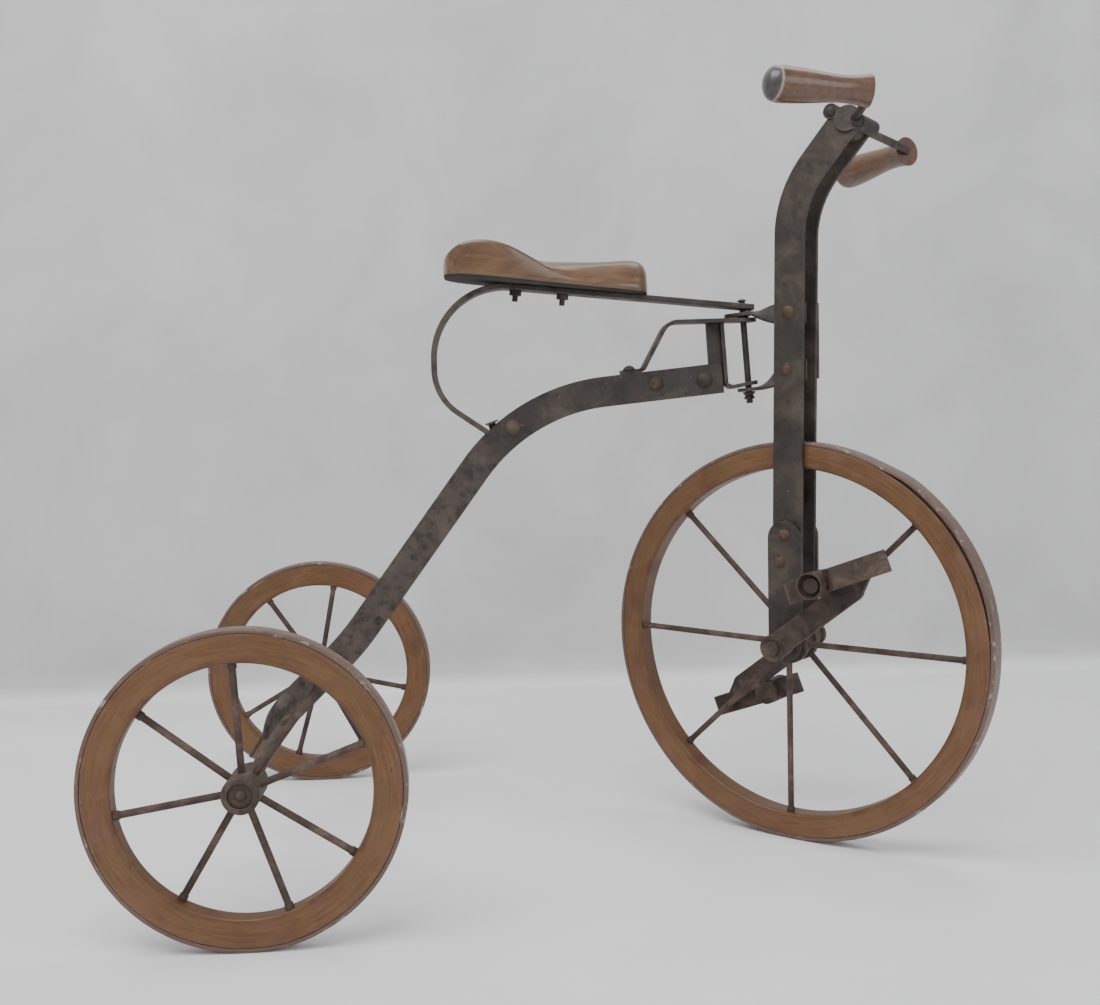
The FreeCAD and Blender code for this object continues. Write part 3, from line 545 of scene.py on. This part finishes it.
# the forging between the bar and the axle: x and z from the eye's middle, half width, half thickness; mm
FORGING = ((20, 17.6, 17.6, 2.8), (14.3, 12.1, 17.6, 5), (8.5, 6.5, 17.2, 9), (1, -1, 16, 12.5),
           (-6.5, -9, 14, 13), (-13, -17, 9.5, 10), (-18, -24, 5.5, 6.5), (-20.5, -28, 2.5, 3.5))
BAR_ACROSS = Vector((-0.6947, 0, 0.7193))       # across the lower end of the bar, in its own plane


def forged_foot():
    """The bar swells into a lump round the axle and runs out to a tip."""
    low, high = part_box("axle_socket")
    middle = (low + high) / 2
    rings = []
    for x, z, wide, thick in FORGING:
        ring = []
        for i in range(20):
            a = 2 * math.pi * i / 20
            c, d = math.cos(a), math.sin(a)
            reach = BAR_ACROSS * math.copysign(abs(c) ** 0.75, c) * wide
            ring.append(middle + (Vector((x, math.copysign(abs(d) ** 0.75, d) * thick, z)) + reach) / 1000)
        rings.append(ring)
    piece = make_piece("forged_foot", *loft(rings, False), STEEL)
    soft = piece.modifiers.new("soft", "SUBSURF")
    soft.levels = 1
    soft.render_levels = 2
    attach(piece, "frame")
    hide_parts("axle_socket")


def rounded_path(points, radii, step=0.004):
    """Points along a bent line whose inner corners are arcs."""
    path = [Vector(points[0])]
    for before, corner, after, radius in zip(points, points[1:], points[2:], radii):
        corner = Vector(corner)
        back = (Vector(before) - corner).normalized()
        on = (Vector(after) - corner).normalized()
        half = back.angle(on) / 2
        reach = radius / math.tan(half)
        centre = corner + (back + on).normalized() * (radius / math.sin(half))
        start, end = corner + back * reach - centre, corner + on * reach - centre
        turn = start.angle(end)
        count = max(4, int(turn * radius / step))
        for i in range(count + 1):
            t = i / count
            swing = (start * math.sin((1 - t) * turn) + end * math.sin(t * turn)) / math.sin(turn)
            path.append(centre + swing)
    path.append(Vector(points[-1]))
    return path


LEAF_HALF = 0.00315         # half the leaf's thickness
LEAF_WIDE = 0.0125          # half its width
LEAF_SOFT = 0.0009
LEAF_FRONT = 0.137          # height of its front end over the lowest point of its node
LEAF_BENDS = (0.082, 0.060)
PIN_HOLE = 0.0041
PIN_LEAN = 4.0


def leaf_spring():
    """The seat's spring: one strip, straight under the seat and round in a C to the backbone."""
    low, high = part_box("seat_spring")
    mid_y = (low.y + high.y) / 2
    thick = LEAF_HALF
    right, left = high.x - 0.0003, low.x + thick
    front_z = low.z + LEAF_FRONT
    corner_z = front_z + (right - left) * SEAT_TILT
    foot = (left + 0.0606, 0, low.z - 0.0020)
    corners = [(right, 0, front_z), (left, 0, corner_z), (left, 0, low.z + 0.0401), foot]
    path = rounded_path(corners, LEAF_BENDS)
    width, soft = LEAF_WIDE, LEAF_SOFT
    section = [(width - soft, thick), (width, thick - soft), (width, soft - thick), (width - soft, -thick),
               (soft - width, -thick), (-width, soft - thick), (-width, thick - soft), (soft - width, thick)]
    rings = []
    for i, point in enumerate(path):
        ahead = (path[min(i + 1, len(path) - 1)] - path[max(i - 1, 0)]).normalized()
        out = Vector((ahead.z, 0, -ahead.x))
        rings.append([point + Vector((0, mid_y + s, 0)) + out * t for s, t in section])
    piece = make_piece("leaf_spring", *loft(rings, False), STEEL)
    cutter_at = joint_place("seat_flex")
    tall = 0.03
    angles = [math.pi * i / 16 for i in range(32)]
    ring = [Vector((PIN_HOLE * math.cos(a), PIN_HOLE * math.sin(a), 0)) for a in angles]
    tilt = Matrix.Rotation(math.radians(-PIN_LEAN), 4, "Y")
    levels = [[cutter_at + (tilt @ (v + Vector((0, 0, z)))) for v in ring] for z in (-tall, tall)]
    cutter = make_piece("leaf_hole", *loft(levels, False), STEEL)
    hole = piece.modifiers.new("hole", "BOOLEAN")
    hole.object = cutter
    hole.solver = "EXACT"
    bpy.context.view_layer.update()
    done = bpy.data.meshes.new_from_object(piece.evaluated_get(bpy.context.evaluated_depsgraph_get()))
    piece.modifiers.clear()
    piece.data = done
    bpy.data.objects.remove(cutter)
    done.set_sharp_from_angle(angle=math.radians(30))
    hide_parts("seat_spring")
    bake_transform(piece)


wheels()
saddle()
forged_foot()
leaf_spring()


# ------------------------------------------------------------------------------------------
# stage, light and camera
# ------------------------------------------------------------------------------------------
TABLE_EDGE = 0.80


def stage():
    """A pale table top, and a pale cloth that hangs behind its far edge."""
    mesh = bpy.data.meshes.new("floor")
    angles = [math.pi / 2 * i / 12 for i in range(13)]
    bend = [(TABLE_EDGE + 0.06 * math.sin(a), 0.06 - 0.06 * math.cos(a)) for a in angles]
    profile = [(-3.0, 0.0)] + bend + [(TABLE_EDGE + 0.06, 4.0)]
    verts = [(x, y, z) for x in (-6.0, 6.0) for y, z in profile]
    count = len(profile)
    faces = [(i, i + 1, count + i + 1, count + i) for i in range(count - 1)]
    mesh.from_pydata(verts, [], faces)
    mesh.shade_smooth()
    floor = bpy.data.objects.new("floor", mesh)
    bpy.context.scene.collection.objects.link(floor)
    p = Paint("floor_cloth")
    broad = p.noise(p.place(), 3.0, 4.0, 0.6, 0.4)
    table = p.ramp(broad, [(0.3, (0.80, 0.80, 0.81)), (0.7, (0.86, 0.86, 0.87))])
    cloth = p.ramp(broad, [(0.3, (0.50, 0.50, 0.50)), (0.7, (0.62, 0.62, 0.62))])
    mesh.materials.append(p.finish(p.mix(p.band(p.split(p.place())[2], 0.0, 0.03), table, cloth), 0.9))


def lamp(name, place, target, size, power, colour=(1, 1, 1)):
    light = bpy.data.lights.new(name, "AREA")
    light.shape = "RECTANGLE"
    light.size, light.size_y = size
    light.energy = power
    light.color = colour
    o = bpy.data.objects.new(name, light)
    o.location = place
    o.rotation_euler = (Vector(target) - Vector(place)).to_track_quat("-Z", "Y").to_euler()
    bpy.context.scene.collection.objects.link(o)


stage()
lamp("key", (-0.9, -1.1, 2.6), (0.0, 0.0, 0.3), (2.4, 1.6), 62.0, (1.0, 0.99, 0.97))
lamp("fill", (1.8, -2.2, 1.4), (0.1, 0.0, 0.4), (2.0, 1.6), 22.0, (0.97, 0.98, 1.0))
lamp("back", (0.4, 1.0, 2.6), (0.0, 0.6, 0.2), (2.6, 1.0), 22.0)
world = bpy.data.worlds.new("studio")
bpy.context.scene.world = world
world.use_nodes = True
world.node_tree.nodes["Background"].inputs[0].default_value = (0.95, 0.97, 1.0, 1)
world.node_tree.nodes["Background"].inputs[1].default_value = 0.62

# the pinhole camera: place, turn, tilt and roll
YAW, PITCH, ROLL = 0.062076, -0.0611145, -0.0222748
REAR_AXLE_X = joint_place("rear_wheel_right_spin").x
eye = Vector((REAR_AXLE_X + 0.22188, -1.393594, 0.481016))
ahead = Vector((math.sin(YAW) * math.cos(PITCH), math.cos(YAW) * math.cos(PITCH), math.sin(PITCH)))
right = Vector((math.cos(YAW), -math.sin(YAW), 0.0))
upward = right.cross(ahead)
rolled_right = right * math.cos(ROLL) + upward * math.sin(ROLL)
rolled_up = upward * math.cos(ROLL) - right * math.sin(ROLL)
camera_data = bpy.data.cameras.new("camera")
camera_data.sensor_width = 36.0
camera_data.lens = camera_data.sensor_width * 12 / 11
camera_data.clip_start = 0.05
camera = bpy.data.objects.new("camera", camera_data)
camera.matrix_world = Matrix((
    (rolled_right.x, rolled_up.x, -ahead.x, eye.x),
    (rolled_right.y, rolled_up.y, -ahead.y, eye.y),
    (rolled_right.z, rolled_up.z, -ahead.z, eye.z),
    (0, 0, 0, 1)))
bpy.context.scene.collection.objects.link(camera)
bpy.context.scene.camera = camera
